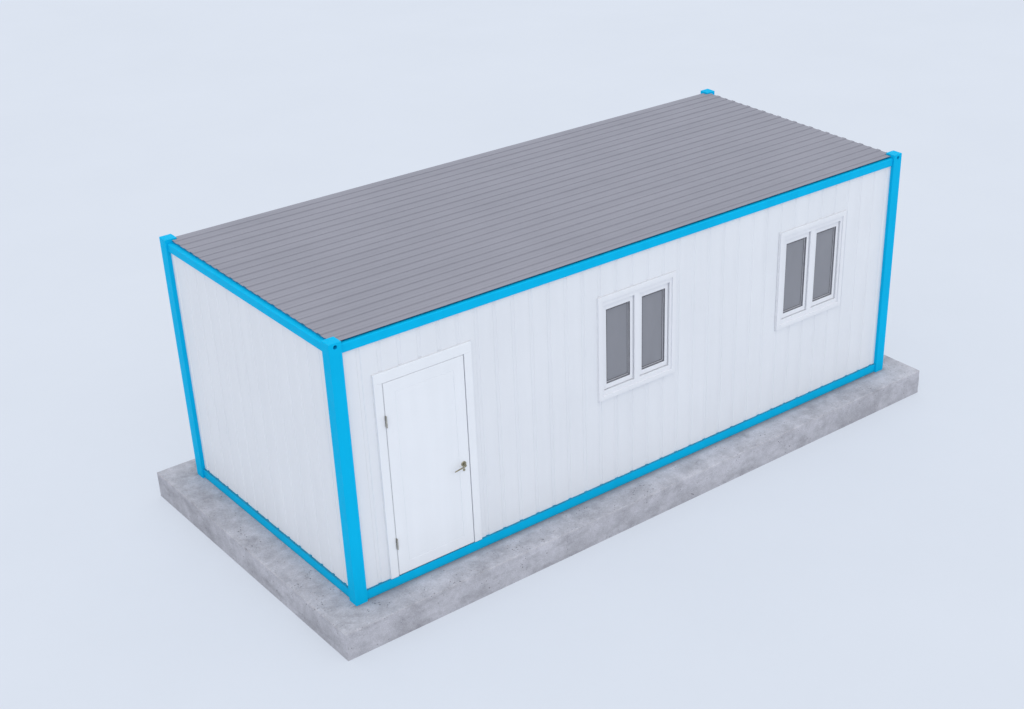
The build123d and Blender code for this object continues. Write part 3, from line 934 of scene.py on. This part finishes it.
def lock(node, materials):
    """A lock cylinder through the leaf with a rim and a keyway at each end."""
    mesh = bmesh.new()
    low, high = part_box(node)
    middle = (low + high) / 2
    half = (high.y - low.y) / 2
    rim = [(LOCK_RADIUS * share, half) for share in LOCK_RIM_SHARES]
    profile = [
        (0, half - LOCK_SINK),
        (LOCK_RADIUS * LOCK_FACE_SHARE, half - LOCK_SINK),
        *rim,
        (LOCK_RADIUS, half - LOCK_EASE),
    ]
    other_end = [(radius, -along) for radius, along in reversed(profile)]
    lathe(mesh, profile + other_end, middle, FRONTWARD)
    for outward in (-1, 1):
        slot_middle = Vector((middle.x, middle.y + outward * (half - LOCK_SINK), middle.z))
        before = set(mesh.faces)
        block(mesh, slot_middle - KEYWAY, slot_middle + KEYWAY, KEYWAY_ROUNDING)
        for face in set(mesh.faces) - before:
            face.material_index = 1
    return add_piece(f"{node}_turned", mesh, body_of[node], materials, [node], smooth=True)


def door_seals(materials):
    """Seal strips in the gap on the hinge side of the leaf and, of the second material, over it; their greys are
    partly the seals' own and partly painted shade in the gap.
    """
    mesh = bmesh.new()
    leaf_low, leaf_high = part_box("door_leaf")
    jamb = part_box("door_frame_left")[1].x
    head_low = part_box("door_frame_head")[0]
    front = leaf_low.y + SEAL_SETBACK
    back = front + SEAL_DEPTH
    sill = leaf_low.z
    levels = [sill]
    for low, _ in solids("hinge_frame_halves"):
        levels += [low.z - SEAL_GAP, low.z + 2 * KNUCKLE_HEIGHT + 2 * SEAL_GAP]
    levels.append(head_low.z)
    for bottom, top in zip(levels[::2], levels[1::2]):
        block(mesh, Vector((jamb, front, bottom)), Vector((leaf_low.x - SEAL_GAP, back, top)))
    upright = set(mesh.faces)
    over_low = Vector((leaf_low.x, front, leaf_high.z + SEAL_GAP))
    block(mesh, over_low, Vector((leaf_high.x, back, head_low.z)))
    # The strip over the leaf takes the second material, painted shade in the gap above the leaf.
    for face in set(mesh.faces) - upright:
        face.material_index = 1
    return add_piece("door_seals", mesh, "cabin", materials)


def casing_beads(materials):
    """Sloped sealant round the casings, filling the ends of the grooves, with painted shade on its upper runs."""
    mesh = bmesh.new()
    wall_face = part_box("front_wall_left")[0].y
    inner = wall_face + GROOVE_DEPTH
    boxes = [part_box("window_1_frame"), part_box("window_2_frame")]
    door_low = Vector(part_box("door_frame_left")[0])
    boxes.append((door_low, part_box("door_frame_head")[1]))
    for low, high in boxes:
        stands = low.z == door_low.z
        rings = []
        section = ((0, inner), (0, wall_face - BEAD_RISE), (BEAD_WIDTH, wall_face), (BEAD_WIDTH, inner))
        for spread, y in section:
            foot = low.z if stands else low.z - spread
            rings.append([
                mesh.verts.new((x, y, z))
                for x, z in (
                    (low.x - spread, foot),
                    (low.x - spread, high.z + spread),
                    (high.x + spread, high.z + spread),
                    (high.x + spread, foot),
                )
            ])
        for first, second in zip(rings, rings[1:] + rings[:1]):
            for start, end in ((0, 1), (1, 2), (2, 3), (3, 0)):
                if stands and start == 3:
                    continue
                face = mesh.faces.new((first[start], first[end], second[end], second[start]))
                # The upper run takes the second, darker bead as painted shade.
                face.material_index = 1 if start == 1 else 0
        if stands:
            mesh.faces.new([ring[0] for ring in rings])
            mesh.faces.new([ring[3] for ring in rings])
    return add_piece("casing_beads", mesh, "cabin", materials)


def place_camera():
    """Put the camera where the photo was taken from."""
    data = bpy.data.cameras.new("photo_camera")
    data.sensor_width = SENSOR_WIDTH
    data.sensor_fit = "HORIZONTAL"
    data.lens = FOCAL_PIXELS / PHOTO_WIDTH * SENSOR_WIDTH
    data.shift_x = (PHOTO_WIDTH / 2 - PRINCIPAL_POINT[0]) / PHOTO_WIDTH
    data.shift_y = (PRINCIPAL_POINT[1] - PHOTO_HEIGHT / 2) / PHOTO_WIDTH
    camera = bpy.data.objects.new("photo_camera", data)
    bpy.context.scene.collection.objects.link(camera)
    level = math.cos(CAMERA_ELEVATION)
    back = Vector((
        math.sin(CAMERA_AZIMUTH) * level,
        -math.cos(CAMERA_AZIMUTH) * level,
        math.sin(CAMERA_ELEVATION),
    ))
    camera.location = CAMERA_PLACE
    camera.rotation_euler = (-back).to_track_quat("-Z", "Y").to_euler()
    bpy.context.scene.camera = camera


def light_scene():
    """Soft even sky with one broad lamp from the front, and a pale backdrop."""
    world = bpy.data.worlds.new("studio")
    bpy.context.scene.world = world
    world.use_nodes = True
    tree = world.node_tree
    tree.nodes.clear()
    lit = tree.nodes.new("ShaderNodeBackground")
    lit.inputs["Color"].default_value = SKY_LIGHT
    lit.inputs["Strength"].default_value = SKY_STRENGTH
    seen = tree.nodes.new("ShaderNodeBackground")
    seen.inputs["Color"].default_value = SKY_SHOWN
    choose = tree.nodes.new("ShaderNodeMixShader")
    output = tree.nodes.new("ShaderNodeOutputWorld")
    tree.links.new(seen_rays(tree), choose.inputs["Fac"])
    tree.links.new(lit.outputs["Background"], choose.inputs[1])
    tree.links.new(seen.outputs["Background"], choose.inputs[2])
    tree.links.new(choose.outputs["Shader"], output.inputs["Surface"])
    data = bpy.data.lights.new("key", "SUN")
    data.energy = KEY_STRENGTH
    data.angle = KEY_ANGLE
    lamp = bpy.data.objects.new("key", data)
    lamp.rotation_euler = KEY_FROM.to_track_quat("Z", "Y").to_euler()
    bpy.context.scene.collection.objects.link(lamp)


def lay_floor(material):
    """A wide pale floor under the plinth."""
    mesh = bmesh.new()
    bmesh.ops.create_grid(mesh, x_segments=FLOOR_CELLS, y_segments=FLOOR_CELLS, size=FLOOR_HALF_SIZE)
    data = bpy.data.meshes.new("studio_floor")
    mesh.to_mesh(data)
    mesh.free()
    data.materials.append(material)
    floor = bpy.data.objects.new("studio_floor", data)
    bpy.context.scene.collection.objects.link(floor)


bpy.context.scene.view_settings.view_transform = "Standard"

wall_paint = painted(
    "wall_paint", WALL_LIGHT, WALL_DARK, WALL_WORN, rough=0.50, wear=0.003, grain=420, depth=0.0003
)
trim_paint = painted(
    "trim_paint", TRIM_LIGHT, TRIM_DARK, TRIM_WORN, rough=0.42, wear=0.003, grain=520, depth=0.0003
)
window_plastic = painted(
    "window_plastic",
    PLASTIC_LIGHT,
    PLASTIC_DARK,
    PLASTIC_WORN,
    rough=0.36,
    wear=0.0015,
    grain=900,
    depth=0.00015,
)
blue_look = {
    "light": BLUE_LIGHT,
    "dark": BLUE_DARK,
    "worn": BLUE_WORN,
    "rough": 0.45,
    "wear": 0.008,
    "grain": 380,
    "depth": 0.0004,
    "grime": BLUE_SHADE,
    "Specular_IOR_Level": 0.02,
}
blue_paint = painted("blue_paint", **blue_look)
# The base rails carry painted shade at their foot and along the ledge under the wall.
rail_low, rail_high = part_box("base_rail_front")
rail_shade_bands = ((rail_low.z, *FOOT_SHADE), (rail_high.z, *LEDGE_SHADE))
shaded_rail_paint = painted("shaded_rail_paint", bands=rail_shade_bands, **blue_look)
# The roof bearers under the sheet's edge are darkened almost whole as painted shade.
bearer_shade_bands = ((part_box("roof_bearers")[1].z, *BEARER_SHADE),)
shaded_bearer_paint = painted("shaded_bearer_paint", bands=bearer_shade_bands, **blue_look)
roof_paint = coated_roof("roof_paint")
rubber = mottled("rubber", RUBBER_LIGHT, RUBBER_DARK, rough=0.75, scale=40, grain=900, depth=0.0003)
gasket_rubber = mottled(
    "gasket_rubber", GASKET_LIGHT, GASKET_DARK, rough=0.6, scale=25, grain=900, depth=0.0002
)
spacer = mottled("spacer", SPACER_LIGHT, SPACER_DARK, rough=0.45, scale=30, grain=900, depth=0.0001)
shaded_seal_rubber = mottled("shaded_seal_rubber", SEAL_SHADE_LIGHT, SEAL_SHADE_DARK, rough=0.7, scale=20, grain=700, depth=0.0002)
bead = mottled("bead", BEAD_LIGHT, BEAD_DARK, rough=0.6, scale=20, grain=500, depth=0.0002)
shaded_bead = mottled("shaded_bead", BEAD_SHADE_LIGHT, BEAD_SHADE_DARK, rough=0.65, scale=20, grain=500, depth=0.0002)
vinyl = mottled("vinyl", VINYL_LIGHT, VINYL_DARK, rough=0.5, scale=6, grain=240, depth=0.0005)
board = mottled("board", BOARD_LIGHT, BOARD_DARK, rough=0.8, scale=3, grain=200, depth=0.0006)
cast_concrete = concrete("cast_concrete")
shaded_pit_concrete = mottled("shaded_pit_concrete", PIT_SHADE_LIGHT, PIT_SHADE_DARK, rough=0.9, scale=30, grain=160, depth=0.002)
dark_brass = brass("dark_brass", BRASS_LIGHT, BRASS_DARK)
hinge_brass = brass("hinge_brass", HINGE_LIGHT, HINGE_DARK)
glass = tinted_glass("tinted_glass")
stage_paint = stage_look("stage_paint")

worn_plinth("plinth", [cast_concrete, shaded_pit_concrete])
for corner_name in ("front_left", "front_right", "back_left", "back_right"):
    paint(f"post_{corner_name}", blue_paint)
for side_name in ("front", "back", "left", "right"):
    paint(f"base_rail_{side_name}", shaded_rail_paint)
    paint(f"top_rail_{side_name}", blue_paint)
paint("roof_bearers", shaded_bearer_paint)
paint("floor", vinyl)
paint("ceiling", board)
paint("roof_sheet", roof_paint)
for wall_name in (
    "front_wall_left",
    "front_wall_over_door",
    "front_wall_pier_1",
    "front_wall_pier_2",
    "front_wall_right",
    "front_wall_below_windows",
    "front_wall_over_windows",
):
    grooved_wall(wall_name, 0, -1, FRONT_PHASE, wall_paint)
grooved_wall("back_wall", 0, 1, FRONT_PHASE, wall_paint)
grooved_wall("end_wall_left", 1, -1, END_PHASE, wall_paint)
grooved_wall("end_wall_right", 1, 1, END_PHASE, wall_paint)
for trim_name in ("door_frame_left", "door_frame_right", "door_frame_head"):
    soften(trim_name, TRIM_ROUNDING, trim_paint)
soften("door_leaf", PANEL_ROUNDING, trim_paint, slope_panels, LEAF_ROUNDING)
soften("door_stops", SEAL_ROUNDING, rubber)
for window_name in ("window_1", "window_2"):
    soften(f"{window_name}_frame", SASH_ROUNDING, window_plastic)
    soften(f"{window_name}_sashes", SASH_ROUNDING, window_plastic)
    paint(f"{window_name}_glass", glass)
    gaskets(f"{window_name}_glass", [gasket_rubber, spacer, rubber])
jamb_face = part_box("door_frame_left")[1].x
leaf_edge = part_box("door_leaf")[0].x
hinge_halves("hinge_frame_halves", (jamb_face, jamb_face + PLATE_THICKNESS), False, hinge_brass)
hinge_halves("hinge_leaf_halves", (leaf_edge, leaf_edge - PLATE_THICKNESS), True, hinge_brass)
roses("handle_roses", dark_brass)
levers("lever_handle", dark_brass)
lock("lock_cylinder", [dark_brass, rubber])
door_seals([shaded_seal_rubber, shaded_bead])
casing_beads([bead, shaded_bead])

lay_floor(stage_paint)
light_scene()
place_camera()
